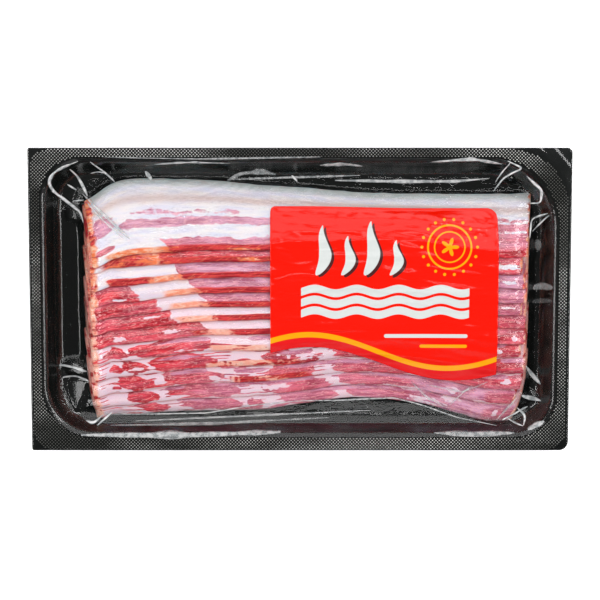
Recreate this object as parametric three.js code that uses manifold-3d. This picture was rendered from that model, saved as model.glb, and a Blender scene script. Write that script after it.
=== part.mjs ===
// A sealed vacuum pack of thick-cut bacon: a black thermoformed tray, twelve shingled slices lying in it,
// a clear top film sealed to the tray's flange and drawn down over the slices, and a printed label on the film.
// Millimetres, +Z up. The origin is on the table under the middle of the tray, +X along its length.
import * as THREE from "three";
import { mergeVertices } from "three/addons/utils/BufferGeometryUtils.js";
import Module from "manifold-3d";

const wasm = await Module();
wasm.setup();

// Tray
const trayLength = 258;
const trayWidth = 145;
const trayHeight = 14;
const traySheet = 0.8;
const flangeCorners = { nearLeft: 1.2, nearRight: 4.5, farRight: 2.5, farLeft: 1.2 };
const cavityLeft = -123.4;
const cavityRight = 122.6;
const cavityNear = -65.8;
const cavityFar = 67.6;
const cavityCorners = { nearLeft: 25, nearRight: 20, farRight: 33, farLeft: 20 };
const wallRun = 3.8;
const footRound = 1.6;

// Slices, counted from the first one laid, at the near side, to the last one, which shows whole
const sliceCount = 12;
const sliceWidth = 34.4;
const sliceThickness = 2.6;
const sliceGap = 0.3;
const slicePitch = 7;
const taperStart = 4 * slicePitch;
const taperRun = 2 * slicePitch;
const edgeBevel = 2.7;
const lipShare = 0.36;
const firstEdge = -53.6;
const stackLeft = -104;
const stackRight = 110;

// How the vacuum pulls the stack about
const leftLean = 0.28;
const rightLean = 0.08;
const leanReach = 26;
const endDroop = 0.22;
const droopReach = 7;
const pillow = 0.22;

// Film and label
const film = 0.3;
const filmGap = 0.3;
const labelSheet = 0.25;
const labelLeft = -14.2;
const labelRight = 94.4;
const labelTop = 44.8;
const labelWaveMiddle = -30.9;
const labelWaveHeight = 8.35;
const labelWaveCrest = 5;
const labelWaveHalf = 69.4;
const labelCornerLeft = 1.6;
const labelCornerRight = 5;

const floorTop = traySheet;
const stackFloor = floorTop + sliceGap;
const wallDepth = trayHeight - floorTop;

const clamp = THREE.MathUtils.clamp;
const lerp = THREE.MathUtils.lerp;
const smooth = (value, low, high) => THREE.MathUtils.smoothstep(value, low, high);
const bell = (value, middle, reach) => Math.exp(-(((value - middle) / reach) ** 2));

// Points round a rounded rectangle, anticlockwise from above. Any two outlines made with the same counts
// match point by point, so they can be lofted. sidePoints is [along X, along Y].
function outline(box, radii, sidePoints, cornerPoints) {
  const corners = [
    { x: box.right, y: box.near, sx: -1, sy: 1, r: radii.nearRight, start: -Math.PI / 2 },
    { x: box.right, y: box.far, sx: -1, sy: -1, r: radii.farRight, start: 0 },
    { x: box.left, y: box.far, sx: 1, sy: -1, r: radii.farLeft, start: Math.PI / 2 },
    { x: box.left, y: box.near, sx: 1, sy: 1, r: radii.nearLeft, start: Math.PI },
  ];
  const arcs = corners.map(({ x, y, sx, sy, r, start }) =>
    Array.from({ length: cornerPoints }, (_, i) => {
      const angle = start + (i / (cornerPoints - 1)) * (Math.PI / 2);
      return [x + sx * r + r * Math.cos(angle), y + sy * r + r * Math.sin(angle)];
    }),
  );
  const points = [];
  arcs.forEach((arc, k) => {
    points.push(...arc);
    const from = arc[arc.length - 1];
    const to = arcs[(k + 1) % arcs.length][0];
    const count = sidePoints[(k + 1) % 2];
    for (let i = 1; i < count; i++) {
      points.push([lerp(from[0], to[0], i / count), lerp(from[1], to[1], i / count)]);
    }
  });
  return points;
}

// A closed surface from a list of equal rings. A ring that runs back over itself from point turn on has its
// faces split the other way there, so that both sides are split alike, and its ends are closed in the YZ
// plane; other rings are closed by a fan.
function loftRings(rings, turn = Infinity) {
  const count = rings[0].length;
  const positions = rings.flat(2);
  const index = [];
  for (let r = 0; r + 1 < rings.length; r++) {
    for (let i = 0; i < count; i++) {
      const a = r * count + i;
      const b = r * count + ((i + 1) % count);
      if (i < turn) index.push(a, b + count, a + count, a, b, b + count);
      else index.push(a, b, a + count, b, b + count, a + count);
    }
  }
  [0, rings.length - 1].forEach((r) => {
    if (turn < count) {
      const flat = rings[r].map(([, y, z]) => new THREE.Vector2(y, z));
      const way = Math.sign(THREE.ShapeUtils.area(flat)) * (r === 0 ? -1 : 1);
      for (const [a, b, c] of THREE.ShapeUtils.triangulateShape(flat, [])) {
        const turned = Math.sign(THREE.ShapeUtils.area([flat[a], flat[b], flat[c]])) === way;
        index.push(...(turned ? [a, b, c] : [a, c, b]).map((i) => r * count + i));
      }
      return;
    }
    const middle = rings[r].reduce((sum, p) => sum.map((s, k) => s + p[k] / count), [0, 0, 0]);
    const centre = positions.length / 3;
    positions.push(...middle);
    for (let i = 0; i < count; i++) {
      const a = r * count + i;
      const b = r * count + ((i + 1) % count);
      index.push(...(r === 0 ? [centre, b, a] : [centre, a, b]));
    }
  });
  return indexed(positions, index);
}

function indexed(positions, index) {
  const geometry = new THREE.BufferGeometry();
  geometry.setAttribute("position", new THREE.Float32BufferAttribute(positions, 3));
  geometry.setIndex(index);
  return geometry;
}

function toSolid(geometry) {
  const bare = geometry.clone();
  bare.deleteAttribute("normal");
  bare.deleteAttribute("uv");
  const merged = mergeVertices(bare, 1e-4);
  return new wasm.Manifold(
    new wasm.Mesh({
      numProp: 3,
      vertProperties: merged.attributes.position.array,
      triVerts: new Uint32Array(merged.index.array),
    }),
  );
}

function fromSolid(solid) {
  const made = solid.getMesh();
  return indexed(Array.from(made.vertProperties), Array.from(made.triVerts));
}

function named(name, geometry, colour, roughness, opacity = 1) {
  geometry.computeVertexNormals();
  const material = new THREE.MeshStandardMaterial({ color: colour, roughness, metalness: 0 });
  material.opacity = opacity;
  material.transparent = opacity < 1;
  const mesh = new THREE.Mesh(geometry, material);
  mesh.name = name;
  return mesh;
}

// The tray: flange, sloping walls and floor, one sheet thick all over
const cavityBox = { left: cavityLeft, right: cavityRight, near: cavityNear, far: cavityFar };
const flangeBox = {
  left: -trayLength / 2,
  right: trayLength / 2,
  near: -trayWidth / 2,
  far: trayWidth / 2,
};

function inset(box, radii, by) {
  const corners = Object.entries(radii).map(([k, r]) => [k, Math.max(r - by, 0.5)]);
  return [
    { left: box.left + by, right: box.right - by, near: box.near + by, far: box.far - by },
    Object.fromEntries(corners),
  ];
}

function trayGeometry() {
  const sidePoints = [6, 4];
  const cornerPoints = 7;
  const ring = (box, radii, by, z) =>
    outline(...inset(box, radii, by), sidePoints, cornerPoints).map(([x, y]) => [x, y, z]);
  const cavity = (by, z) => ring(cavityBox, cavityCorners, by, z);
  return loftRings([
    cavity(wallRun + footRound - traySheet, 0),
    cavity(wallRun - traySheet, footRound * 0.45),
    cavity(-traySheet, trayHeight - traySheet),
    ring(flangeBox, flangeCorners, 0, trayHeight - traySheet),
    ring(flangeBox, flangeCorners, 0, trayHeight),
    cavity(0, trayHeight),
    cavity(wallRun, floorTop + footRound * 0.45),
    cavity(wallRun + footRound, floorTop),
  ]);
}

// Height of the tray's upper surface at a point, from how far inside the cavity's rim it lies
function trayTop(x, y) {
  const right = x > (cavityLeft + cavityRight) / 2;
  const far = y > (cavityNear + cavityFar) / 2;
  const radius = cavityCorners[(far ? "far" : "near") + (right ? "Right" : "Left")];
  const toSide = right ? cavityRight - x : x - cavityLeft;
  const toEnd = far ? cavityFar - y : y - cavityNear;
  const inCorner = toSide < radius && toEnd < radius;
  const inside = inCorner
    ? radius - Math.hypot(radius - toSide, radius - toEnd)
    : Math.min(toSide, toEnd);
  return clamp(trayHeight - (inside / wallRun) * wallDepth, floorTop, trayHeight);
}

// The shingled stack. Each slice lies on the one before it, a pitch further on, and thins towards its far
// edge, where the next one passes over it to the floor.
const sliceEdge = (i) => firstEdge + i * slicePitch;
const cover = (u) => clamp(1 - (u - taperStart) / taperRun, 0, 1);
const sliceBottom = (i, across) => {
  let height = stackFloor;
  for (let j = 0; j < i; j++) height += (sliceThickness + sliceGap) * cover(across - sliceEdge(j));
  return height;
};
const sliceTop = (i, across) =>
  sliceBottom(i, across) + (sliceThickness + sliceGap) * cover(across - sliceEdge(i)) - sliceGap;

// One warp for the whole stack, so that the slices stay clear of each other: the ends lean in and droop
// under the film, the slices bow in plan, and the last slice bulges.
function warp(along, across, height) {
  const fromLeft = along - stackLeft;
  const fromRight = stackRight - along;
  const above = height - stackFloor;
  const endShare = (distance) => 1 - clamp(distance / droopReach, 0, 1);
  const droop = 1 - endDroop * (endShare(fromLeft) + endShare(fromRight));
  const lean =
    leftLean * (1 - smooth(fromLeft, 0, leanReach)) - rightLean * (1 - smooth(fromRight, 0, leanReach));
  const lastEdge = sliceEdge(sliceCount - 1);
  const bulge = 1 + pillow * bell(across, lastEdge + sliceWidth * 0.62, sliceWidth * 0.33);
  const nearShare = 1 - clamp((across - firstEdge) / (lastEdge - firstEdge), 0, 1);
  const leftSag = lerp(2, 4.8, smooth(nearShare, 0, 0.25)) - 3.3 * smooth(nearShare, 0.88, 1);
  const leftBow = -leftSag * (1 - smooth(along, -92, -42));
  const middleBow = lerp(1.5, 6.4, nearShare ** 2) * bell(along, 28, 34);
  const rightBow = -lerp(4.2, 5.6, nearShare ** 2) * smooth(along, 52, 100);
  const farEdge = smooth(across, lastEdge + sliceWidth * 0.3, lastEdge + sliceWidth);
  const bow = (leftBow + middleBow + rightBow) * (1 - farEdge);
  const farBow = -farEdge * (8 * smooth(along, -75, 62) + 5 * (1 - smooth(along, -106, -84)));
  const nearCut =
    5.5 * nearShare ** 4 * (1 - smooth(along, -104, -70)) - 9 * nearShare ** 6 * smooth(along, 70, 110);
  return [
    along + lean * above + nearCut,
    across + bow + farBow,
    stackFloor + above * droop * bulge,
  ];
}

// A small repeatable wobble for each slice and end
const wobble = (i, seed) => Math.sin(i * 12.9898 + seed * 78.233) * 0.9;

const middleStations = [stackLeft + droopReach];
for (let i = 1; i <= 16; i++) middleStations.push(lerp(-97, 95, i / 16));
middleStations.push(stackRight - droopReach);

function sliceStations(i) {
  const left = stackLeft + 0.6 + wobble(i, 1) * 0.6;
  const right = stackRight - 1.1 + wobble(i, 2) * 1.1;
  return [left, ...middleStations, right];
}

// Each slice has its points a pitch apart, under the edges of the slices that lie on it, so that facing
// surfaces bend alike.
function sliceGeometry(i) {
  const near = sliceEdge(i);
  const far = near + sliceWidth;
  const bends = [];
  for (let u = slicePitch; u < sliceWidth; u += slicePitch) bends.push(near + u);
  const section = (along) => {
    const round = along < middleStations[0] || along > middleStations.at(-1) ? 0.5 : 0;
    const nearEdge = near + round;
    const nearTop = nearEdge + edgeBevel;
    const bottom = [nearEdge, ...bends, far - round].map((a) => [a, sliceBottom(i, a)]);
    const top = [nearTop, ...bends, far - round].map((a) => [a, sliceTop(i, a)]);
    const lip = [nearEdge, sliceBottom(i, nearEdge) + sliceThickness * lipShare];
    return [...bottom, ...top.reverse(), lip].map(([across, height]) => warp(along, across, height));
  };
  return loftRings(sliceStations(i).map(section), bends.length + 2);
}

// Highest surface under the film, in the stack's own coordinates
function stackTop(across) {
  const under = Math.floor((across - firstEdge) / slicePitch);
  const i = clamp(under, 0, sliceCount - 1);
  const within = across - sliceEdge(i);
  if (i === 0 && within < 0) return sliceTop(0, firstEdge + edgeBevel);
  const below = i > 0 ? sliceTop(i - 1, across) : stackFloor;
  const edgeShare = clamp(within / edgeBevel, 0, 1);
  const edge = sliceBottom(i, across) + sliceThickness * lerp(lipShare, 1, edgeShare);
  return Math.max(below, within < edgeBevel ? edge : sliceTop(i, across));
}

// The film as one grid over the stack, carried out in rings to the flange
function filmGrid() {
  const columns = [stackLeft - 0.6, ...middleStations, stackRight + 0.8];
  const rows = [firstEdge - 1];
  for (let i = 0; i < sliceCount; i++) {
    if (i > 0) rows.push(sliceEdge(i) - 0.1);
    rows.push(sliceEdge(i) + edgeBevel);
  }
  const lastFar = sliceEdge(sliceCount - 1) + sliceWidth;
  rows.push(lastFar - 25, lastFar - 17, lastFar - 10, lastFar - 5, lastFar + 1);
  const grid = rows.map((across) =>
    columns.map((along) => {
      const reach = Math.max(stackTop(across - 0.25), stackTop(across), stackTop(across + 0.25));
      const [x, y, z] = warp(along, across, reach);
      return [x, y, Math.max(z, trayTop(x, y)) + filmGap];
    }),
  );
  return { columns: columns.length, rows: rows.length, grid };
}

// Points of the grid's edge, anticlockwise from its near left corner
function gridEdge({ columns, rows, grid }) {
  const edge = [];
  for (let c = 0; c < columns - 1; c++) edge.push([0, c]);
  for (let r = 0; r < rows - 1; r++) edge.push([r, columns - 1]);
  for (let c = columns - 1; c > 0; c--) edge.push([rows - 1, c]);
  for (let r = rows - 1; r > 0; r--) edge.push([r, 0]);
  return edge.map(([r, c]) => ({ key: r * columns + c, point: grid[r][c] }));
}

// Where a ray from the pack's middle side line through a point meets a rounded rectangle
function rimPoint(point, box, radii) {
  const share = (x, y) => {
    const right = x > 0;
    const far = y > 0;
    const radius = radii[(far ? "far" : "near") + (right ? "Right" : "Left")];
    const toSide = right ? box.right - x : x - box.left;
    const toEnd = far ? box.far - y : y - box.near;
    const inCorner = toSide < radius && toEnd < radius;
    return inCorner ? radius - Math.hypot(radius - toSide, radius - toEnd) : Math.min(toSide, toEnd);
  };
  const anchor = [clamp(point[0], -78, 78) * 0.92, clamp(point[1], -18, 18) * 0.6];
  const way = [point[0] - anchor[0], point[1] - anchor[1]];
  let low = 0;
  let high = 20;
  for (let step = 0; step < 40; step++) {
    const t = (low + high) / 2;
    if (share(anchor[0] + way[0] * t, anchor[1] + way[1] * t) > 0) low = t;
    else high = t;
  }
  return [anchor[0] + way[0] * low, anchor[1] + way[1] * low];
}

// Highest tray surface close to a point, which keeps the film clear of the wall between its corners
function trayNear(x, y, reach) {
  let high = 0;
  for (const dx of [-reach, 0, reach]) {
    for (const dy of [-reach, 0, reach]) high = Math.max(high, trayTop(x + dx, y + dy));
  }
  return high;
}

function filmLayers() {
  const made = filmGrid();
  const edge = gridEdge(made);
  const positions = made.grid.flat();
  const triangles = [];
  for (let r = 0; r + 1 < made.rows; r++) {
    for (let c = 0; c + 1 < made.columns; c++) {
      const a = r * made.columns + c;
      const b = a + made.columns;
      triangles.push([a, a + 1, b + 1], [a, b + 1, b]);
    }
  }
  let inner = edge.map(({ key }) => key);
  const rim = edge.map(({ point }) => rimPoint(point, ...inset(cavityBox, cavityCorners, 0.4)));
  const outer = edge.map(({ point }) => rimPoint(point, flangeBox, flangeCorners));
  snapCorners(outer);
  const shares = [
    [0.3, 0.86],
    [0.66, 1],
  ];
  const rings = shares.map(([out, down]) =>
    edge.map(({ point }, i) => {
      const x = lerp(point[0], rim[i][0], out);
      const y = lerp(point[1], rim[i][1], out);
      const z = lerp(point[2], floorTop + filmGap, down);
      return [x, y, Math.max(z, trayNear(x, y, 1.4) + filmGap)];
    }),
  );
  rings.push(rim.map(([x, y]) => [x, y, trayHeight + filmGap]));
  rings.push(outer.map(([x, y]) => [x, y, trayHeight + filmGap]));
  rings.forEach((ring) => {
    const start = positions.length;
    positions.push(...ring);
    const next = ring.map((_, i) => start + i);
    for (let i = 0; i < ring.length; i++) {
      const j = (i + 1) % ring.length;
      triangles.push([inner[i], next[i], next[j]], [inner[i], next[j], inner[j]]);
    }
    inner = next;
  });
  return { positions, triangles, rim: inner };
}

// Moves the nearest point of the outer ring onto each corner of the flange, so that no corner is cut off
function snapCorners(ring) {
  for (const sx of [-1, 1]) {
    for (const sy of [-1, 1]) {
      const radius = flangeCorners[(sy > 0 ? "far" : "near") + (sx > 0 ? "Right" : "Left")];
      const cut = radius * (1 - Math.SQRT1_2);
      const corner = [sx * (trayLength / 2 - cut), sy * (trayWidth / 2 - cut)];
      const gaps = ring.map((p) => Math.hypot(p[0] - corner[0], p[1] - corner[1]));
      ring[gaps.indexOf(Math.min(...gaps))] = corner;
    }
  }
}

// A sheet of one thickness: the same surface twice, with a wall round its rim
function sheetGeometry({ positions, triangles, rim }, lift, thickness) {
  const count = positions.length;
  const low = positions.map(([x, y, z]) => [x, y, z + lift]);
  const high = positions.map(([x, y, z]) => [x, y, z + lift + thickness]);
  const index = triangles.flatMap(([a, b, c]) => [a + count, b + count, c + count, c, b, a]);
  rim.forEach((a, i) => {
    const b = rim[(i + 1) % rim.length];
    index.push(a, b, b + count, a, b + count, a + count);
  });
  return indexed([...low, ...high].flat(), index);
}

// The label's outline from above: a rounded top and a wave along its near edge
function labelOutline() {
  const shape = new THREE.Shape();
  const wave = (x) =>
    labelWaveMiddle + labelWaveHeight * Math.cos((Math.PI * (x - labelWaveCrest)) / labelWaveHalf);
  const waveSteps = 16;
  shape.moveTo(labelLeft, wave(labelLeft));
  for (let i = 1; i <= waveSteps; i++) {
    const x = lerp(labelLeft, labelRight, i / waveSteps);
    shape.lineTo(x, wave(x));
  }
  shape.lineTo(labelRight, labelTop - labelCornerRight);
  shape.quadraticCurveTo(labelRight, labelTop, labelRight - labelCornerRight, labelTop);
  shape.lineTo(labelLeft + labelCornerLeft, labelTop);
  shape.quadraticCurveTo(labelLeft, labelTop, labelLeft, labelTop - labelCornerLeft);
  return shape;
}

function labelGeometry(layers) {
  const tall = 40;
  const prism = new THREE.ExtrudeGeometry(labelOutline(), {
    depth: tall,
    bevelEnabled: false,
    curveSegments: 4,
  });
  const skin = toSolid(sheetGeometry(layers, film + filmGap, labelSheet));
  return fromSolid(skin.intersect(toSolid(prism)));
}

const pack = new THREE.Group();
const layers = filmLayers();
pack.add(named("tray", trayGeometry(), 0x0b0d0d, 0.25));
for (let i = 0; i < sliceCount; i++) {
  const colour = i % 2 ? 0xc8505a : 0xdc8c8c;
  pack.add(named(`slice_${String(i + 1).padStart(2, "0")}`, sliceGeometry(i), colour, 0.45));
}
pack.add(named("film", sheetGeometry(layers, 0, film), 0xf2f5f5, 0.08, 0.3));
pack.add(named("label", labelGeometry(layers), 0xe81c08, 0.3));

export default pack;
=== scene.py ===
import math

import bpy
import numpy as np
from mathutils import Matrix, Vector


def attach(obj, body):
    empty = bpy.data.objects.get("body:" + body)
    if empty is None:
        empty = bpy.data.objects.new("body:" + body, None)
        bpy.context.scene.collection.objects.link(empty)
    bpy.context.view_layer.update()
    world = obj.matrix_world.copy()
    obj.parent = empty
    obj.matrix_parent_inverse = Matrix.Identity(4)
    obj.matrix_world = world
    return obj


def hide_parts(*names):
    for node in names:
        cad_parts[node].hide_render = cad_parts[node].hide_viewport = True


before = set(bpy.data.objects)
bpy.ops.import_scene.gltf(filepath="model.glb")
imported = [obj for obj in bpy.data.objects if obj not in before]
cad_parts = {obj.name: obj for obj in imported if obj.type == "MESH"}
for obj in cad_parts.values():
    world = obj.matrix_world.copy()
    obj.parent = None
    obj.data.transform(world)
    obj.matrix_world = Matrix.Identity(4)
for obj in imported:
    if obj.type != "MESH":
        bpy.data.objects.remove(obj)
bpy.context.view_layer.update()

# Lengths are millimetres until a mesh is made
MM = 0.001

# Tray
TRAY_LENGTH, TRAY_WIDTH, TRAY_HEIGHT, TRAY_SHEET = 258, 145, 14, 0.8
CAVITY = dict(left=-123.4, right=122.6, near=-65.8, far=67.6)
CAVITY.update(near_left=25, near_right=20, far_right=33, far_left=20)
FLANGE = dict(left=-129, right=129, near=-72.5, far=72.5)
FLANGE.update(near_left=1.2, near_right=4.5, far_right=2.5, far_left=1)
SEAL = dict(left=-128.2, right=128, near=-72.1, far=72.2)
SEAL.update(near_left=9, near_right=9, far_right=29, far_left=9)
SEAL_PITCH = 1.62
WALL_RUN, FOOT_ROUND = 3.8, 1.6
SHOULDER_RUN, SHOULDER_SLOPE = 1.7, 0.38
# Points along each side and round each corner of the tray
SIDE_POINTS, CORNER_POINTS = 40, 20

# Slices
SLICES, SLICE_WIDTH, SLICE_THICKNESS, SLICE_GAP, PITCH = 12, 34.4, 2.8, 0.1, 7
TAPER_START, TAPER_RUN, EDGE_ROUND = 28, 14, 2.9
# How much of a covered slice is meshed finely, and how far its ends are rounded
EXPOSED, END_ROUND = 10.5, 1.4
FIRST_EDGE, STACK_LEFT, STACK_RIGHT = -53.6, -104, 110
STACK_FLOOR = TRAY_SHEET + 0.3
# How far each slice's edge lies off an even spacing, towards the left and the right end
SHIFT_LEFT = (0.1, -0.4, -0.5, 0.1, 0.8, 1.7, 1.6, 1.3, 0.9, 1.2, 1.6, 0.2)
SHIFT_RIGHT = (1.0, 1.4, 1.2, 1.8, 2.6, 1.9, 2.2, 1.6, 0.3, -0.1, -0.2, 1.0)
# The photo shows the pack from this far and slightly from the far side, so that low points look drawn in
SIGHT_DISTANCE, SIGHT_LEVEL, SIGHT_SLANT = 660, 12, 0.084
# How far the edges curl towards the near side at their left end
END_HOOK, END_HOOK_RUN = 2.5, 13
# The uppermost slice curls further
LAST_HOOK, LAST_HOOK_RUN = 3.4, 26


def clamp(value, low, high):
    return np.clip(value, low, high)


def smooth(value, low, high):
    t = clamp((value - low) / (high - low), 0, 1)
    return t * t * (3 - 2 * t)


def fade(value, low, high):
    return 1 - smooth(value, low, high)


def quarter_round(value):
    return np.sqrt(1 - (1 - clamp(value, 0, 1)) ** 2)


def bell(value, middle, reach):
    return np.exp(-(((value - middle) / reach) ** 2))


def noise(x, y, seed):
    """Smooth noise from -1 to 1, with one swing for each unit of x and y."""
    x, y = np.broadcast_arrays(np.asarray(x, float), np.asarray(y, float))
    xi, yi = np.floor(x), np.floor(y)
    fx, fy = x - xi, y - yi
    fx, fy = fx * fx * (3 - 2 * fx), fy * fy * (3 - 2 * fy)

    def lattice(i, j):
        wave = np.sin(i * 127.1 + j * 311.7 + seed * 74.7) * 43758.5453
        return 2 * (wave - np.floor(wave)) - 1

    near = lattice(xi, yi) * (1 - fx) + lattice(xi + 1, yi) * fx
    far = lattice(xi, yi + 1) * (1 - fx) + lattice(xi + 1, yi + 1) * fx
    return near * (1 - fy) + far * fy


# Shader nodes


class Tree:
    """A material's node tree, with short ways to add nodes. Each method returns the node's output socket."""

    def __init__(self, name):
        self.material = bpy.data.materials.new(name)
        self.material.use_nodes = True
        self.tree = self.material.node_tree
        self.shader = self.tree.nodes["Principled BSDF"]
        self.output = self.tree.nodes["Material Output"]

    def plug(self, value, socket):
        if isinstance(value, bpy.types.NodeSocket):
            self.tree.links.new(value, socket)
        else:
            socket.default_value = value

    def add(self, kind, inputs=None, out=0, **settings):
        node = self.tree.nodes.new(kind)
        for key, value in settings.items():
            setattr(node, key, value)
        for key, value in (inputs or {}).items():
            self.plug(value, node.inputs[key])
        return node.outputs[out]

    def place(self):
        return self.add("ShaderNodeTexCoord", out="Object")

    def math(self, operation, a, b=0.0):
        return self.add("ShaderNodeMath", {0: a, 1: b}, operation=operation)

    def times(self, a, b):
        return self.math("MULTIPLY", a, b)

    def plus(self, a, b):
        return self.math("ADD", a, b)

    def mix(self, factor, a, b):
        """Mixes two colours, each a socket or red, green and blue as they look on the screen."""
        a, b = (srgb(*colour) if isinstance(colour, tuple) else colour for colour in (a, b))
        return self.add("ShaderNodeMix", {0: factor, 6: a, 7: b}, out=2, data_type="RGBA")

    def ramp(self, value, low, high, to_low=0, to_high=1, kind="SMOOTHSTEP"):
        inputs = {"Value": value, "From Min": low, "From Max": high, "To Min": to_low, "To Max": to_high}
        return self.add("ShaderNodeMapRange", inputs, interpolation_type=kind)

    def attribute(self, name, out="Fac"):
        return self.add("ShaderNodeAttribute", out=out, attribute_name=name)

    def noise(self, vector, scale, detail, roughness=0.5):
        """Noise with a scale of its own along each axis."""
        scaled = self.add("ShaderNodeVectorMath", {0: vector, 1: scale}, operation="MULTIPLY")
        inputs = {"Vector": scaled, "Scale": 1.0, "Detail": detail, "Roughness": roughness}
        return self.add("ShaderNodeTexNoise", inputs)

    def bump(self, height, strength, distance):
        return self.add("ShaderNodeBump", {"Height": height, "Strength": strength, "Distance": distance})

    def set(self, **inputs):
        for key, value in inputs.items():
            self.plug(value, self.shader.inputs[key.replace("_", " ")])
        return self.material

    def show(self, shader):
        """Puts another shader in the standard one's place."""
        self.tree.nodes.remove(self.shader)
        self.plug(shader, self.output.inputs["Surface"])
        return self.material


def srgb(r, g, b):
    """A colour given as it looks on the screen, 0 to 255, made linear."""
    linear = [(v / 255) / 12.92 if v <= 10 else ((v / 255 + 0.055) / 1.055) ** 2.4 for v in (r, g, b)]
    return (*linear, 1)


# Mesh making


def put(name, data):
    made = bpy.data.objects.new(name, data)
    bpy.context.scene.collection.objects.link(made)
    return made


def make_object(name, points, faces, material, attributes=None, replaces=()):
    mesh = bpy.data.meshes.new(name)
    mesh.from_pydata((np.asarray(points) * MM).tolist(), [], faces)
    mesh.shade_smooth()
    for key, values in (attributes or {}).items():
        values = np.asarray(values, dtype=np.float32)
        kind, field = ("FLOAT", "value") if values.ndim == 1 else ("FLOAT_VECTOR", "vector")
        mesh.attributes.new(key, kind, "POINT").data.foreach_set(field, values.ravel())
    mesh.materials.append(material)
    mesh.validate()
    made = put(name, mesh)
    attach(made, "root")
    if replaces:
        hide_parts(*replaces)
    return made


def ring_faces(rings, count):
    """Quads between closed rings of points, and a fan of triangles at each end round an added point."""
    faces = []
    for r in range(rings - 1):
        a, b = r * count, (r + 1) * count
        faces += [(a + i, a + (i + 1) % count, b + (i + 1) % count, b + i) for i in range(count)]
    first, last, start = rings * count, rings * count + 1, (rings - 1) * count
    faces += [(first, (i + 1) % count, i) for i in range(count)]
    faces += [(last, start + i, start + (i + 1) % count) for i in range(count)]
    return faces


def with_caps(rings):
    """All rings' values in one row, then the first and the last ring's mean for the points at the ends."""
    size = rings.shape[2:]
    return np.concatenate([rings.reshape(-1, *size), [rings[0].mean(0), rings[-1].mean(0)]])


def sheet_faces(rows, columns):
    """Faces of a closed sheet: a grid, the same grid under it, and a wall round the rim."""
    index = np.arange(rows * columns).reshape(rows, columns)
    a, b, c, d = index[:-1, :-1], index[:-1, 1:], index[1:, 1:], index[1:, :-1]
    top = np.stack([a, b, c, d], -1).reshape(-1, 4)
    under = top[:, ::-1] + rows * columns
    rim = np.concatenate([index[0, :-1], index[:-1, -1], index[-1, :0:-1], index[:0:-1, 0]])
    after = np.roll(rim, -1)
    wall = np.stack([rim, rim + rows * columns, after + rows * columns, after], -1)
    return np.concatenate([top, under, wall]).tolist()


# The tray


def outline(box, by=0.0):
    """Points round a rounded rectangle, set in by a distance, anticlockwise."""
    left, right, near, far = box["left"] + by, box["right"] - by, box["near"] + by, box["far"] - by
    corners = (
        (right, near, -1, 1, box["near_right"], -90),
        (right, far, -1, -1, box["far_right"], 0),
        (left, far, 1, -1, box["far_left"], 90),
        (left, near, 1, 1, box["near_left"], 180),
    )
    arcs = []
    for x, y, sx, sy, radius, start in corners:
        r = max(radius - by, 0.4)
        angle = np.radians(start + np.linspace(0, 90, CORNER_POINTS))
        arcs.append(np.stack([x + sx * r + r * np.cos(angle), y + sy * r + r * np.sin(angle)], -1))
    points = []
    for k, arc in enumerate(arcs):
        share = (np.arange(1, SIDE_POINTS) / SIDE_POINTS)[:, None]
        points += [arc, arc[-1] * (1 - share) + arcs[(k + 1) % 4][0] * share]
    return np.concatenate(points)


def inside_distance(x, y, box):
    """How far a point lies inside a rounded rectangle; below zero outside."""
    right = x > (box["left"] + box["right"]) / 2
    far = y > (box["near"] + box["far"]) / 2
    radius = np.where(
        far,
        np.where(right, box["far_right"], box["far_left"]),
        np.where(right, box["near_right"], box["near_left"]),
    )
    to_side = np.where(right, box["right"] - x, x - box["left"])
    to_end = np.where(far, box["far"] - y, y - box["near"])
    in_corner = (to_side < radius) & (to_end < radius)
    to_arc = radius - np.hypot(radius - to_side, radius - to_end)
    return np.where(in_corner, to_arc, np.minimum(to_side, to_end))


def tray_top(x, y):
    """Height of the tray's upper side: a sloping shoulder, the wall and the floor."""
    inside = inside_distance(x, y, CAVITY)
    shoulder = SHOULDER_SLOPE * clamp(inside + 0.6, 0, WALL_RUN)
    wall = smooth(inside, SHOULDER_RUN, WALL_RUN + 1.2)
    return TRAY_HEIGHT - shoulder - (TRAY_HEIGHT - TRAY_SHEET - shoulder) * wall


def tray_material():
    tree = Tree("black_tray")
    place = tree.place()
    grain = tree.noise(place, (60, 900, 900), 3)
    dust = tree.noise(place, (700, 700, 700), 3, 0.6)
    specks = tree.ramp(dust, 0.72, 0.76)
    base = tree.mix(specks, (11, 14, 13), (120, 128, 126))
    rough = tree.ramp(grain, 0.3, 0.7, 0.3, 0.5)
    tree.set(Specular_IOR_Level=0.1, IOR=1.4)
    return tree.set(Base_Color=base, Roughness=rough, Normal=tree.bump(grain, 0.03, 0.0006))


def knurl_material():
    """Film and flange pressed together; the pale dots on the knurl's tips are painted highlights, stronger in
    some places than others.
    """
    tree = Tree("seal_painted_glints")
    place = tree.place()
    broad = tree.ramp(tree.noise(place, (14, 40, 40), 3), 0.4, 0.65)
    fine = tree.ramp(tree.noise(place, (500, 500, 500), 2), 0.3, 0.7)
    # Painted highlights: pale grey to white dots, over mid grey where the broad noise is low
    pale = tree.mix(fine, (190, 190, 186), (236, 238, 234))
    base = tree.mix(broad, (90, 90, 86), pale)
    return tree.set(Base_Color=base, Roughness=0.35, IOR=1.5)


def tray_ring(box, by, z):
    ring = outline(box, by)
    return np.column_stack([ring, np.full(len(ring), z)])


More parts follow.
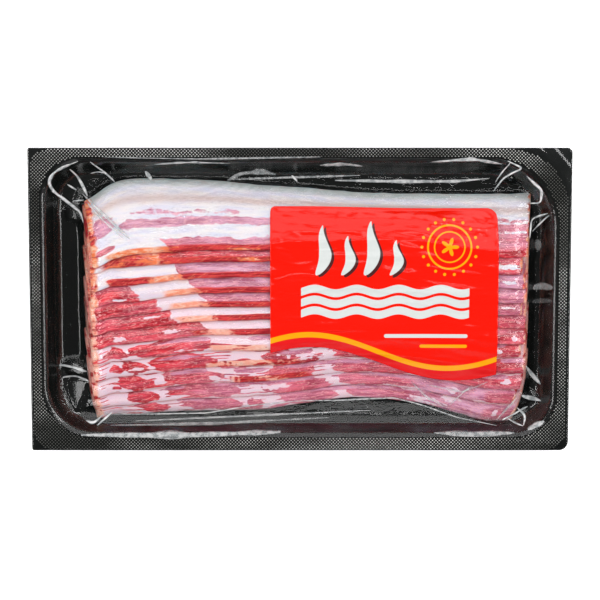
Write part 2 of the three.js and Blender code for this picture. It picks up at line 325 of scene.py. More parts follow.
def tray_rings():
    """Rings round the tray's sheet: the underside from the middle out, the flange's edge, and the cavity."""
    wall = np.linspace(0, 1, 7)[1:-1]
    drop = TRAY_HEIGHT - TRAY_SHEET
    rings = [(CAVITY, WALL_RUN + 6, 0.0), (CAVITY, WALL_RUN + FOOT_ROUND - 0.5, 0.0)]
    rings += [(CAVITY, WALL_RUN - 0.8 + FOOT_ROUND * 0.4, 0.35), (CAVITY, WALL_RUN - 1.0, 1.1)]
    for t in wall:
        rings.append((CAVITY, (WALL_RUN - TRAY_SHEET) * (1 - t) - TRAY_SHEET * t, 1.2 + (drop - 1.6) * t))
    rings += [(CAVITY, -0.9, drop - 0.3), (CAVITY, -1.3, drop), (FLANGE, 0.3, drop), (FLANGE, 0, drop + 0.15)]
    rings += [(FLANGE, 0, TRAY_HEIGHT - 0.15), (FLANGE, 0.15, TRAY_HEIGHT)]
    for by, below in ((-0.8, 0), (-0.3, 0.08), (0.1, 0.45), (0.35, 1.2)):
        rings.append((CAVITY, by, TRAY_HEIGHT - below))
    low = TRAY_SHEET + FOOT_ROUND
    for t in wall:
        z = TRAY_HEIGHT - 1.2 + (low - TRAY_HEIGHT + 1.2) * t
        rings.append((CAVITY, 0.35 + (WALL_RUN - 0.75) * t, z))
    for a in np.radians(np.linspace(15, 90, 5)):
        by = WALL_RUN - 0.3 + FOOT_ROUND * (1 - math.cos(a))
        rings.append((CAVITY, by, low - FOOT_ROUND * math.sin(a)))
    rings += [(CAVITY, WALL_RUN + 3, TRAY_SHEET), (CAVITY, WALL_RUN + 8, TRAY_SHEET)]
    return np.stack([tray_ring(*ring) for ring in rings])


def build_tray(material):
    rings = tray_rings()
    faces = ring_faces(*rings.shape[:2])
    make_object("tray_shell", with_caps(rings), faces, material, replaces=("tray",))


def build_seal(material):
    """The knurled seal: rows of small pyramids pressed up through film and flange."""
    half, base, tip = SEAL_PITCH * 0.22, TRAY_HEIGHT + 0.2, TRAY_HEIGHT + 0.6
    across = np.arange(FLANGE["left"], FLANGE["right"], SEAL_PITCH)
    along = np.arange(FLANGE["near"], FLANGE["far"], SEAL_PITCH)
    first = np.stack(np.meshgrid(across, along), -1).reshape(-1, 2)
    spots = np.concatenate([first, first + SEAL_PITCH / 2])
    outer = inside_distance(spots[:, 0], spots[:, 1], SEAL)
    rim = inside_distance(spots[:, 0], spots[:, 1], CAVITY)
    spots = spots[(outer > half) & (rim < -half - 0.3)]
    corners = np.array([(half, 0), (0, half), (-half, 0), (0, -half), (0, 0)])
    points = np.empty((len(spots), 5, 3))
    points[:, :, :2] = spots[:, None, :] + corners
    points[:, :4, 2], points[:, 4, 2] = base, tip
    faces = []
    for k in range(0, len(spots) * 5, 5):
        faces += [(k + a, k + (a + 1) % 4, k + 4) for a in range(4)]
        faces.append((k + 3, k + 2, k + 1, k))
    seal = make_object("seal_knurl", points.reshape(-1, 3), faces, material)
    seal.data.shade_flat()


# The stack of slices


def edge_line(i, along):
    """Where slice i's near edge runs, in the stack's own coordinates."""
    share = smooth(along, -30, 95)
    shift = SHIFT_LEFT[i] * (1 - share) + SHIFT_RIGHT[i] * share
    wander = 0.4 * noise(along / 19, i * 7.3, 1) + 0.2 * noise(along / 5, i * 5.1, 2)
    hook = -END_HOOK * fade(along, STACK_LEFT, STACK_LEFT + END_HOOK_RUN)
    if i == SLICES - 1:
        hook = hook - LAST_HOOK * fade(along, STACK_LEFT, STACK_LEFT + LAST_HOOK_RUN)
    return FIRST_EDGE + i * PITCH + shift + wander + hook


def thickness(i, along):
    return SLICE_THICKNESS * (1 + 0.07 * noise(along / 24, i * 3.7, 3))


def bottom_height(i, along, across):
    height = np.full(np.broadcast_shapes(np.shape(along), np.shape(across)), STACK_FLOOR)
    for j in range(i):
        u = across - edge_line(j, along)
        height = height + (thickness(j, along) + SLICE_GAP) * clamp(1 - (u - TAPER_START) / TAPER_RUN, 0, 1)
    return height


def middle_bulge(near_share, along):
    return (1.5 + 4.9 * near_share**2) * bell(along, 28, 34)


def warp(along, across, height):
    """Bends the whole stack at once, so that the slices stay clear of each other: a lean to the left and
    right, a droop at both ends, a bulge, and the photo's bow, which ends at a straighter far edge."""
    above = height - STACK_FLOOR
    last_edge = FIRST_EDGE + (SLICES - 1) * PITCH
    near_share = 1 - clamp((across - FIRST_EDGE) / (last_edge - FIRST_EDGE), 0, 1)
    lean = 0.28 * fade(along - STACK_LEFT, 0, 26) - 0.08 * fade(STACK_RIGHT - along, 0, 26)
    droop = 1 - 0.22 * fade(along - STACK_LEFT, 0, 7) - 0.22 * fade(STACK_RIGHT - along, 0, 7)
    bulge = 0.95 + 0.2 * bell(across, last_edge + SLICE_WIDTH * 0.62, SLICE_WIDTH * 0.33)
    left_sag = 2 + 2.8 * smooth(near_share, 0, 0.25) - 3.3 * smooth(near_share, 0.88, 1)
    left_bow = -left_sag * fade(along, -92, -42)
    middle_bow = middle_bulge(near_share, along)
    right_bow = -(4.2 + 1.4 * near_share**2) * smooth(along, 52, 100)
    far_edge = smooth(across, last_edge + SLICE_WIDTH * 0.3, last_edge + SLICE_WIDTH)
    bow = (left_bow + middle_bow + right_bow) * (1 - far_edge)
    far_bow = -far_edge * (8 * smooth(along, -75, 62) + 5 * fade(along, -106, -84))
    near_cut = 5.5 * near_share**4 * fade(along, -104, -70) - 9 * near_share**6 * smooth(along, 70, 110)
    lumps = 1 + 0.035 * noise(along / 21, across / 13, 4)
    x = along + lean * above + near_cut
    y = across + bow + far_bow
    z = STACK_FLOOR + above * droop * bulge * lumps
    depth = SIGHT_LEVEL - z
    spread = 1 + depth / SIGHT_DISTANCE
    return x * spread, y * spread - depth * SIGHT_SLANT, z


# Where each slice is lean, along the pack, counted from the uppermost one. The rest is fat.
LEAN = {
    1: [(-64, 116)],
    2: [(-98, -74), (-66, 116)],
    3: [(-57, 116)],
    4: [(-106, -79), (-50, 116)],
    5: [(-106, -68), (-46, 116)],
    6: [(-106, -61), (-3, 116)],
    7: [(-106, -46), (2, 116)],
    8: [(-97, -83), (-81.5, -42), (-8, 116)],
    9: [(-94, -86), (-87, -73.5), (-73, -39), (-17, 12), (14, 116)],
    10: [(-90, -71), (-66, -36), (-16, 9), (13, 116)],
    11: [(-85, -67), (-62, -28), (-19, 15), (17, 116)],
    12: [(-78, -64), (-57, -29), (-27, -16), (-10, 19), (22.5, 116)],
}
# From this slice down the lean lies in lens-shaped islands
FIRST_ISLANDS = 8
# Lean that shows on the smoked edge alone
EDGE_LEAN = {3: (-99, -70), 6: (-43, 0), 7: (-36, 4), 9: (-38, -33), 10: (-36, -18)}
# Where the near edge is smoked; elsewhere it looks as the face does
SMOKED = {1: (-98, 90), 2: (-100, 90), 3: (-99, 90), 4: (-68, 90), 5: (-65, 90), 6: (-62, 90), 7: (-54, 90)}
SMOKED.update({8: (-47, -14), 9: (-48, 2), 10: (-37, 6)})
# How dusky each slice's lean is
DUSK = (0.4, 0.25, 1.0, 0.8, 0.6, 0.3, 0.2, 0.15, 0.15, 0.3, 0.5, 0.6)
# Fat in the lean of each slice, and on slice 9 the first three narrow spots, which are painted highlights of
# the film drawn as fat: place along, distance from the edge, half length, half width
FAT_AND_GLINT_SPOTS = {
    1: [(-28, 0.9, 6, 0.5)],
    2: [(-24, 1.6, 6, 0.7), (100, 3.6, 5, 1.2)],
    3: [(101, 2.6, 3.2, 0.8)],
    4: [(-88, 1, 5, 0.5)],
    5: [(100, 3.4, 3.6, 0.6)],
    6: [(-72, 4.4, 4, 0.6)],
    7: [(-88, 2.6, 3.4, 1.3), (-62, 3.6, 3.4, 0.9), (104, 3, 1.2, 1.4)],
    8: [(-54, 1.2, 6, 0.5), (96, 3, 1.8, 2.2)],
    9: [
        # The first three are painted highlights: thin upright glints of the film, drawn as fat
        (-10.4, 4.6, 0.8, 3), (-8, 4.6, 0.8, 3), (-5.6, 4.6, 0.8, 2.8), (2.6, 5.4, 4.6, 3.2),
        (9.4, 6, 3.4, 4), (13.5, 2.6, 3.6, 1.6), (-79, 2.6, 3.4, 0.9), (-43.5, 1.8, 2, 1),
    ],
    10: [(12.4, 4, 3.2, 4.6), (32, 5.6, 5.2, 0.6), (29, 6.6, 0.7, 1.6), (-41, 2, 2.6, 1), (101, 3.4, 2, 1.4)],
    11: [(15.6, 4, 2.6, 2.2), (-13, 3.6, 7, 1.4), (-20, 1.2, 8, 0.6), (74, 3.4, 3, 1.6)],
    12: [(-13, 3, 2.6, 2.6), (20.5, 4, 1.7, 5), (62, 2.2, 9, 1.6), (72, 6.4, 4.5, 1.8), (99, 4, 1.4, 2.4)],
}
# How lean the mottled lilac strips on the uppermost slice are
SOFT = 0.4
# The islands' distance from the edge, their half width and the length of their tips
ISLAND_MIDDLE, ISLAND_HALF, ISLAND_TIP = 3.3, 3.9, 8.0
# From this slice down the lean is dusky towards the right
DUSKY_MIDDLES = 11
# Depth of the smoked rim at both ends
RIM_LEFT, RIM_RIGHT = 1.6, 0.5


def island_share(along, v, inside, number):
    """Lens-shaped islands of lean, pointed where a run of lean ends."""
    tip = np.sqrt(clamp(inside / ISLAND_TIP, 0, 1))
    middle = ISLAND_MIDDLE + 0.9 * noise(along / 11, number, 51)
    ragged = 0.4 * noise(along / 3.2, v / 0.9, 52) + 0.8 * noise(along / 8, v / 1.5, 53)
    return clamp((ISLAND_HALF * tip - np.abs(v - middle) + ragged) / 1.3, -1, 1)


def lean_field(number, along, v, drift, edge):
    """Lean above zero and fat below it, from the runs of lean and the spots of fat, a few of which are
    painted highlights.
    """
    islands = number >= FIRST_ISLANDS
    lean = np.full(v.shape, -1.0)
    for start, stop in LEAN[number]:
        inside = np.minimum(drift - start, stop - drift)
        run = clamp(inside / (2.2 + 5 * edge), -1, 1)
        if islands:
            run = np.minimum(run, island_share(along, v, inside, number))
        lean = np.maximum(lean, run)
    if number in EDGE_LEAN:
        start, stop = EDGE_LEAN[number]
        scallop = (0.5 if islands else 0.1) * np.sin(along * 2.4)
        along_edge = clamp(np.minimum(drift - start, stop - drift) / 6, -1, 1)
        lean = np.maximum(lean, along_edge * edge * 1.5 - 0.5 + scallop * edge)
    for place, depth, length, width in FAT_AND_GLINT_SPOTS[number]:
        reach = np.hypot((along - place) / length, (v - depth) / width)
        reach = reach + 0.5 * noise(along / 1.4, v / 0.6, place)
        lean = np.minimum(lean, clamp((reach - 1) * 1.2, -1, 1))
    return lean


def lilac_layer(number, along, v):
    """The thin lilac-grey layer on the lower slices, just short of where the next slice's edge lies over it.
    """
    layer = 1.1 - np.abs(v - 6.0 - 0.4 * noise(along / 12, number, 54))
    layer = layer - 1.6 * smooth(-noise(along / 13, number, 55), 0.1, 0.4)
    return clamp(layer - 1.5 * fade(along, -78, -55), -1, 1)


def uppermost(along, v, lean, dusk):
    """The uppermost slice shows whole: a lean edge, mottled lilac strips and lean at the right end."""
    ragged = v + 0.7 * noise(along / 2.2, v / 2, 31) + 0.8 * noise(along / 9, v / 4, 32)
    lean = np.minimum(lean, clamp((6.4 - ragged) / 1.2, -1, 1))
    strip = clamp((2.2 - np.abs(ragged * 0.5 + v * 0.5 - 14.4)) / 1.2, -1, 1)
    strip = strip - 2 * fade(along, -92, -82)
    patches = clamp((1.5 - np.abs(v - 19.2)) / 1.5, -1, 1) * 0.5 + 0.7 * noise(along / 8, v / 2, 33) - 0.4
    left = clamp((1 - np.hypot((along + 98) / 8, (v - 17) / 5)) * 2, -1, 1)
    lilac = np.maximum(np.maximum(strip, patches), left)
    lean = np.maximum(lean, np.where(lilac > 0, SOFT * lilac, lilac))
    low_left = clamp((1 - np.hypot((along + 97) / 7, (v - 5.5) / 1.5)) * 2, -1, 1)
    right_end = clamp(np.minimum((along - 93) / 2, (11.5 - v) / 1.5), -1, 1)
    lean = np.maximum(np.maximum(lean, low_left), right_end)
    dusk = np.where(v > 9, 1.0, dusk + 0.35 * smooth(v, 2.5, 4)) - 0.35 * smooth(along, 91, 96)
    return lean, dusk


def slice_pattern(number, along, v, end):
    """Fields that the bacon material turns into colour: lean above zero and fat below it, how far the
    surface is smoked, how dusky the lean is, and how tanned the fat is."""
    islands = number >= FIRST_ISLANDS
    drift = along + (0.9 if islands else 0.7) * (v - 3) + 2.2 * noise(along / 9, v / 3, number)
    edge = fade(v, EDGE_ROUND - 0.35, EDGE_ROUND + 0.25)
    lean = lean_field(number, along, v, drift, edge)
    tan = 0 * v
    dusk = DUSK[number - 1] * (0.1 + 0.9 * smooth(along, -72, -40) + 0.4 * smooth(v, 4.5, 6.0))
    dusk = dusk + 0.2 * noise(along / 16, v / 3, number + 20)
    if islands:
        layer = lilac_layer(number, along, v)
        thin = noise(along / 9, v / 0.6, number + 60) - 0.5
        lean = np.maximum(lean, np.maximum(layer, clamp(thin * 4, -1, 1)))
        dusk = np.maximum(dusk, 0.95 * smooth(layer, -0.2, 0.2))
    if number >= DUSKY_MIDDLES:
        dusk = dusk + 0.6 * smooth(along, 50, 60) * fade(along, 88, 94)
    if number == 1:
        lean, dusk = uppermost(along, v, lean, dusk)
        tan = bell(v, 25.4, 2.1)
    start, stop = SMOKED.get(number, (0, 0))
    smoke = edge * smooth(drift - start, 0, 4) * smooth(stop - drift, 0, 4)
    if number == 2:
        # Its face is smoked at the left end too
        lean = np.where(along < -70, 0.3 * lean, lean)
        ragged = along + 3 * noise(along / 3, v, 44)
        smoke = np.maximum(smoke, smooth(along, -99, -95) * fade(ragged, -62, -52))
    rim_depth = np.where(along > 0, RIM_RIGHT, RIM_LEFT)
    rim = fade(end + 0.8 * noise(v / 1.7, number, 43), rim_depth, 2 * rim_depth)
    mottle = -0.6 + 1.4 * noise(v / 2.2, number * 3.1, 41) + 0.8 * noise(v / 0.9, end, 42)
    lean = lean * (1 - rim) + clamp(mottle, -1, 1) * rim
    return lean, np.maximum(smoke, rim), clamp(dusk, 0, 1), tan


def lean_colour(tree, grain, streaks, fibres):
    """Deep red to coral and lilac-pink, streaked along the rasher, with pale veins."""
    broad = tree.noise(grain, (0.09, 0.35, 1), 3)
    shade = tree.plus(tree.times(broad, 0.4), tree.times(streaks, 0.45))
    shade = tree.ramp(tree.plus(shade, tree.times(fibres, 0.15)), 0.4, 0.6)
    red = tree.mix(shade, (160, 4, 30), (234, 66, 80))
    dusky = tree.mix(shade, (178, 98, 126), (222, 166, 194))
    meat = tree.mix(tree.attribute("dusk"), red, dusky)
    vein = tree.noise(grain, (0.16, 0.8, 1), 3, 0.6)
    veins = tree.ramp(tree.math("ABSOLUTE", tree.math("SUBTRACT", vein, 0.5)), 0.028, 0.006)
    return tree.mix(tree.times(veins, 0.6), meat, (250, 190, 190))


def fat_colour(tree, grain):
    """Bluish white to cream, pinker on the lower slices and tanned towards the smoked side."""
    cloud = tree.noise(grain, (0.08, 0.5, 1), 3)
    fat = tree.mix(tree.ramp(cloud, 0.35, 0.65), (217, 215, 229), (233, 227, 228))
    fat = tree.mix(tree.attribute("blush"), fat, (236, 204, 216))
    return tree.mix(tree.times(tree.attribute("tan"), 0.8), fat, (204, 178, 172))


def smoked_colour(tree, grain, streaks, blotch):
    """The smoked edge: orange over fat, brick red over lean, with orange grain across it."""
    burnt = tree.mix(tree.ramp(blotch, 0.42, 0.64), (238, 128, 80), (246, 200, 172))
    burnt = tree.mix(tree.times(tree.attribute("blush"), 0.6), burnt, (255, 212, 204))
    brick = tree.mix(tree.ramp(streaks, 0.4, 0.6), (158, 8, 30), (220, 66, 68))
    across = {0: grain, 1: (0.55, -0.9, 1)}
    slant = tree.add("ShaderNodeVectorMath", across, out="Value", operation="DOT_PRODUCT")
    lines = tree.noise(tree.add("ShaderNodeCombineXYZ", {"X": slant}), (1.6, 1.6, 1.6), 2)
    marks = tree.times(tree.ramp(lines, 0.54, 0.64), tree.ramp(blotch, 0.42, 0.58))
    brick = tree.mix(tree.times(marks, 0.8), brick, (252, 150, 110))
    mottle = tree.times(tree.math("SUBTRACT", blotch, 0.5), 5)
    scorched = tree.plus(tree.attribute("lean"), mottle)
    return tree.mix(tree.ramp(scorched, -0.5, 0.5), burnt, brick)


def bacon_material():
    tree = Tree("bacon")
    grain = tree.attribute("grain", "Vector")
    fine = tree.noise(grain, (0.4, 0.9, 1), 5, 0.6)
    streaks = tree.noise(grain, (0.1, 1.3, 1), 4, 0.6)
    fibres = tree.noise(grain, (0.9, 2.6, 1), 3, 0.6)
    blotch = tree.noise(grain, (0.3, 0.8, 1), 4, 0.6)
    frayed = tree.times(tree.math("SUBTRACT", fine, 0.5), 1.2)
    is_lean = tree.ramp(tree.plus(tree.attribute("lean"), frayed), -0.14, 0.14)
    face = tree.mix(is_lean, fat_colour(tree, grain), lean_colour(tree, grain, streaks, fibres))
    face = tree.mix(tree.attribute("shaded"), face, (172, 178, 178))
    colour = tree.mix(tree.attribute("smoke"), face, smoked_colour(tree, grain, streaks, blotch))
    # Painted shade in the crevices between slices: dark red over lean, dull pink over fat
    crevice_shade_colour = tree.mix(is_lean, (206, 120, 116), (120, 10, 20))
    colour = tree.mix(tree.times(tree.attribute("painted_crevice_shade"), 0.75), colour, crevice_shade_colour)
    height = tree.plus(fibres, tree.times(blotch, 0.8))
    tree.set(Subsurface_Weight=0.5, Subsurface_Radius=(1.0, 0.4, 0.3), Subsurface_Scale=0.002)
    return tree.set(Base_Color=colour, Roughness=0.42, Normal=tree.bump(height, 0.5, 0.0006), IOR=1.4)


def slice_grid(i):
    """Rings of points round slice i from end to end: places along the pack, distances from the slice's edge
    before the whole stack is bent, and heights. The last points of each ring are the ones that show."""
    left = STACK_LEFT + 0.5 + 0.4 * math.sin(i * 2.4)
    right = STACK_RIGHT - 1.4 + 1.4 * math.sin(i * 4.1 + 1)
    tips = np.array([0, 0.15, 0.45, 0.9, END_ROUND])
    middle = np.linspace(left + 2, right - 2, 300)
    along = np.concatenate([left + tips, middle, (right - tips)[::-1]])[:, None]
    whole = i == SLICES - 1
    exposed = SLICE_WIDTH if whole else EXPOSED
    rounded = EDGE_ROUND * np.array([0, 0.05, 0.15, 0.3, 0.45, 0.6, 0.75, 0.9, 1])
    open_part = np.arange(EDGE_ROUND + 0.4, exposed, 0.6 if whole else 0.42)
    face = np.concatenate([rounded, open_part, np.linspace(exposed, SLICE_WIDTH, 2 if whole else 8)])
    under = np.concatenate([[0.25, 0.8], np.linspace(2.5, SLICE_WIDTH - 0.3, 9)])
    end = np.minimum(along - left, right - along)
    rounding = quarter_round(end / END_ROUND)
    trim = 0.9 * (1 - rounding)
    q = clamp(face / EDGE_ROUND, 0, 1)
    lift = 0.25 + 0.75 * (0.55 * q + 0.45 * quarter_round(q))
    lift = lift * (0.4 + 0.6 * quarter_round((SLICE_WIDTH - face) / 1.2))
    taper_top = clamp(1 - (face - TAPER_START) / TAPER_RUN, 0, 1)
    scale = SLICE_WIDTH - 2 * trim
    near = edge_line(i, along)
    across_top = near + trim + face * scale / SLICE_WIDTH
    across_low = near + trim + under * scale / SLICE_WIDTH
    body = thickness(i, along) * (0.3 + 0.7 * rounding)
    top = bottom_height(i, along, across_top) + body * lift * taper_top
    low = bottom_height(i, along, across_low)
    across = np.concatenate([across_low, across_top[:, ::-1]], 1)
    height = np.concatenate([low, top[:, ::-1]], 1)
    return along, across, height, end, len(face)


def slice_fields(i, along, v, end):
    """The bacon material's attributes at each point of slice i."""
    number = SLICES - i
    spread = along + 0 * v
    lean, smoke, dusk, tan = slice_pattern(number, spread, v, end + 0 * v)
    # Painted shade: darker along the slice's own edge and just short of the next slice's edge, where the
    # slices overlap, broken up by noise along the slice
    painted_crevice_shade = fade(v, 0, 0.5)
    if number > 1:
        shadow_line = edge_line(i + 1, along) - edge_line(i, along)
        painted_crevice_shade = np.maximum(painted_crevice_shade, smooth(v, shadow_line - 0.9, shadow_line - 0.1))
    painted_crevice_shade = painted_crevice_shade * (0.55 + 0.45 * noise(spread / 6, number, 61))
    blush = 0 * v + clamp((number - 2) / 6, 0, 0.8)
    shaded = smooth(v, SLICE_WIDTH - 4.6, SLICE_WIDTH - 1.2)
    grain = np.stack([spread, v, np.full(v.shape, number * 13.7)], -1)
    fields = dict(lean=lean, smoke=smoke, dusk=dusk, tan=tan, painted_crevice_shade=painted_crevice_shade, blush=blush)
    fields.update(shaded=shaded, grain=grain)
    return {key: with_caps(values) for key, values in fields.items()}


def build_slice(i, material):
    """Makes slice i and returns the points of its upper side, for the film to rest on."""
    along, across, height, end, shown = slice_grid(i)
    ring = np.stack(warp(along, across, height), -1)
    fields = slice_fields(i, along, across - edge_line(i, along), end)
    number, faces = f"{i + 1:02d}", ring_faces(*ring.shape[:2])
    replaced = (f"slice_{number}",)
    make_object(f"rasher_{number}", with_caps(ring), faces, material, fields, replaced)
    return ring[:, -shown:].reshape(-1, 3)


# The film: a membrane pulled down over the slices and the tray

FILM_STEP_X, FILM_STEP_Y = 0.9, 0.5
FILM_SHEET, FILM_CLEARANCE, FILM_ROUNDS = 0.12, 0.18, 260
# How hard the vacuum draws the film down, over the stack, round it and under the stiff label
STACK_PULL, MOAT_PULL, LABEL_PULL = 0.9, 0.5, 0.04
STACK_BOX = dict(left=-104, right=110, near=-55, far=58)
STACK_BOX.update(near_left=10, near_right=10, far_right=10, far_left=10)
# Flat facets of film that bridge the moat's corners and rise from the tray's wall to the stack: the height of
# the lowest corner, the slopes along and across the pack, and the corners from above
LEFT_RISE, RIGHT_RISE, NEAR_RISE = (0.41, -0.08), (-0.41, -0.08), (0, -0.41)
FACETS = [
    (1.4, LEFT_RISE, (-114.7, -40.1), (-114.7, -46.8), (-110.9, -53.5), (-108.5, -54.5), (-105.2, -46.8),
     (-103.3, -40.1)),
    (2.4, LEFT_RISE, (-106.1, -48.3), (-107.6, -52.1), (-105.2, -53.8), (-99.4, -52.1), (-102.3, -46.8)),
    (1.6, LEFT_RISE, (-117, -30.5), (-116, -35), (-104, -37.4), (-104, -33), (-110, -30.6)),
    (4, NEAR_RISE, (-104, -57), (-100, -60.8), (-93, -59.5), (-94, -56.4)),
    (1.2, LEFT_RISE, (-107.5, 52.8), (-110, 46.5), (-104, 47.5)),
    (1.2, LEFT_RISE, (-114.2, 43.2), (-113, 38.6), (-107, 38), (-107.5, 43), (-111, 44.4)),
    (10.5, NEAR_RISE, (-100, 67), (-99, 64), (-93, 64.6), (-93.5, 67)),
    (1.2, RIGHT_RISE, (109.5, -32), (112.6, -39.6), (117.4, -42.2), (117.6, -40.4), (112.8, -33.4)),
    (2, RIGHT_RISE, (108, -46.6), (108.4, -50), (117.4, -51), (117.2, -48.2)),
    (3.5, RIGHT_RISE, (110.2, -62.5), (111.4, -64), (117.6, -59.6), (117, -56.6), (112.4, -58.4)),
    (1.4, RIGHT_RISE, (112.4, 8.4), (112, 3.6), (117, 2.2), (121, 4.6), (120.6, 8), (116.6, 9.4)),
    (1.2, RIGHT_RISE, (112.4, -19.6), (112.4, -22.4), (119, -22.6), (119, -20)),
    (9.5, RIGHT_RISE, (97.3, 66), (99.6, 63.2), (105, 62.8), (103, 65.4)),
    (5.5, RIGHT_RISE, (99.8, 58.4), (100.6, 56.4), (104.8, 59.8), (104, 62), (101, 61.4)),
    (1.4, RIGHT_RISE, (110, 32), (111.5, 38), (118, 41.5), (116, 36)),
    (3.23, NEAR_RISE, (-98, -57), (-95, -63.5), (-20, -63.5), (-20, -53)),
    (2.2, NEAR_RISE, (-20, -53), (-20, -63.5), (60, -63.5), (60, -53), (40, -50.5), (10, -50.5)),
    (3.23, NEAR_RISE, (60, -53), (60, -63.5), (101, -63.5), (96, -61.5)),
]
# Creases where the film is folded on itself, drawn pale; their paleness is partly the fold's own white and
# partly painted reflections of the lamps, and the faint long ones are painted reflections alone: width, how
# pale it is, and points along it
PLEATS = [
    (1.2, 0.85, (-114.7, 48), (-118.4, 52), (-119.5, 56.1), (-117.1, 60.4), (-112.4, 63.3), (-105.2, 66)),
    (1.3, 0.85, (-110, 62.3), (-107.1, 58.5), (-104.2, 52.8), (-102.8, 49.6)),
    (1.4, 0.85, (-118.8, 51.8), (-112.4, 46.5), (-106.1, 42.2), (-104.2, 36.8)),
    (1.1, 0.85, (-99.4, 65.7), (-94.2, 60.9), (-89.4, 56.4)),
    (0.9, 0.85, (-112.4, 55.1), (-108, 52.4)),
    (0.7, 0.85, (-109.6, 47.2), (-104.2, 47.6)),
    (1.5, 0.4, (-105, 50.4), (-92.8, 40), (-81.2, 29.6)),
    (1.1, 0.3, (-103.6, 47.6), (-94, 38.2), (-84.4, 30)),
    (0.7, 0.85, (-101, 60.4), (-96.6, 61.4), (-93.4, 60.2)),
    (2, 0.6, (-74.4, 61.4), (-71.4, 57.4)),
    (0.8, 0.5, (-69.3, 64.6), (-52.5, 65.6), (-33.4, 65)),
    (0.9, 0.25, (-93.2, 68), (-47.7, 67.1), (9.7, 68.1)),
    (2.4, 0.25, (-34.8, 57.1), (-28.6, 60.4), (-18, 61.4), (-11.8, 59.9)),
    (1.3, 0.3, (-33.4, 57.5), (-4.6, 58.5), (28.9, 59.5)),
    (1.2, 0.7, (-4, 59.5), (-1.3, 56.6)),
    (1.5, 0.5, (9.7, 64.2), (21.7, 64.7), (29.8, 63.8)),
    (1.8, 0.5, (16.9, 57.1), (48, 56.6), (74.3, 56.6), (91.1, 58)),
    (1.5, 0.5, (62.4, 65.7), (81.5, 67.1), (95.9, 64.7)),
    (1, 0.22, (54, -40.1), (61.2, -47.8), (71.9, -53.8)),
    (0.9, 0.22, (61.2, -41.6), (79.1, -45.4), (91.1, -39.6)),
    (0.8, 0.25, (72.4, -53), (79.1, -45.4), (83.6, -41.8)),
    (1, 0.3, (95.9, -59.4), (101.6, -53), (105.5, -47.8)),
    (1, 0.85, (98.3, 66.2), (105.5, 62.8), (98.8, 59), (93.5, 51.8)),
    (0.8, 0.85, (99.7, 65.7), (97.8, 62.3), (94.5, 56.1)),
    (1, 0.85, (107.9, 59), (115, 52.3), (115.5, 46.1), (109.8, 46.1)),
    (1.1, 0.85, (118.4, 41.3), (111.2, 38.4), (109.8, 29.3)),
    (0.8, 0.85, (118.9, 40.3), (115, 35.5), (111.7, 32.6)),
    (4, 0.1, (114.4, 28.8), (115.2, 23.2)),
    (4.6, 0.2, (112.6, 5), (116, 6.4), (120.6, 5.8)),
    (3.4, 0.06, (112.4, -1.6), (120.6, -0.4)),
    (2, 0.6, (109, -32.2), (112.6, -36.6), (117, -41.8)),
    (2, 0.55, (107.9, -47.3), (117, -49.7)),
    (2.2, 0.5, (109.8, -62.6), (117.4, -58.3)),
    (1.1, 0.85, (98.8, -59.3), (104.6, -56.6), (111.2, -53)),
    (0.9, 0.85, (101, -58.4), (104.6, -60.6), (108, -61.4)),
    (0.9, 0.85, (105.9, -53.5), (110.2, -57.3), (108.3, -61.2)),
    (1.6, 0.75, (-117.1, -32.5), (-110, -33.4), (-103.3, -35.3)),
    (1.2, 0.6, (-115.7, -38.7), (-109, -37.7), (-102.3, -40.1)),
    (1, 0.85, (-104.2, -59.3), (-100.4, -60.7), (-98, -58.6), (-96, -56.6)),
    (0.9, 0.85, (-98.4, -61.4), (-94.4, -58), (-91.6, -55.6)),
    (0.8, 0.4, (-95.6, -56.4), (-71.7, -56.4), (-45.3, -55.9), (-20.9, -52), (0.1, -50.1), (19.8, -50),
     (46.1, -48.6), (60, -52.4), (76.7, -58), (95.4, -61.6)),
    (3, 0.35, (-105.2, -65), (-57.3, -65.2), (-9.4, -63.8)),
    (2.8, 0.3, (64.8, -64.1), (84, -64.8), (103.1, -64.1)),
    (1, 0.25, (-80, -59.6), (-30, -57.4), (36, -54.6)),
    (1.2, 0.2, (-92, -61.4), (-40, -60.6), (14, -58)),
]


def stack_heights(tops, xs, ys):
    """The highest point of the slices in each cell of the film's grid, spread to the cells next to it."""
    stack = np.zeros((len(ys), len(xs)))
    column = np.rint((tops[:, 0] - xs[0]) / (xs[1] - xs[0])).astype(int)
    row = np.rint((tops[:, 1] - ys[0]) / (ys[1] - ys[0])).astype(int)
    np.maximum.at(stack, (row, column), tops[:, 2])
    wide = stack.copy()
    for step in ((0, 1), (0, -1), (1, 0), (-1, 0)):
        wide = np.maximum(wide, np.roll(stack, step, (0, 1)))
    return wide


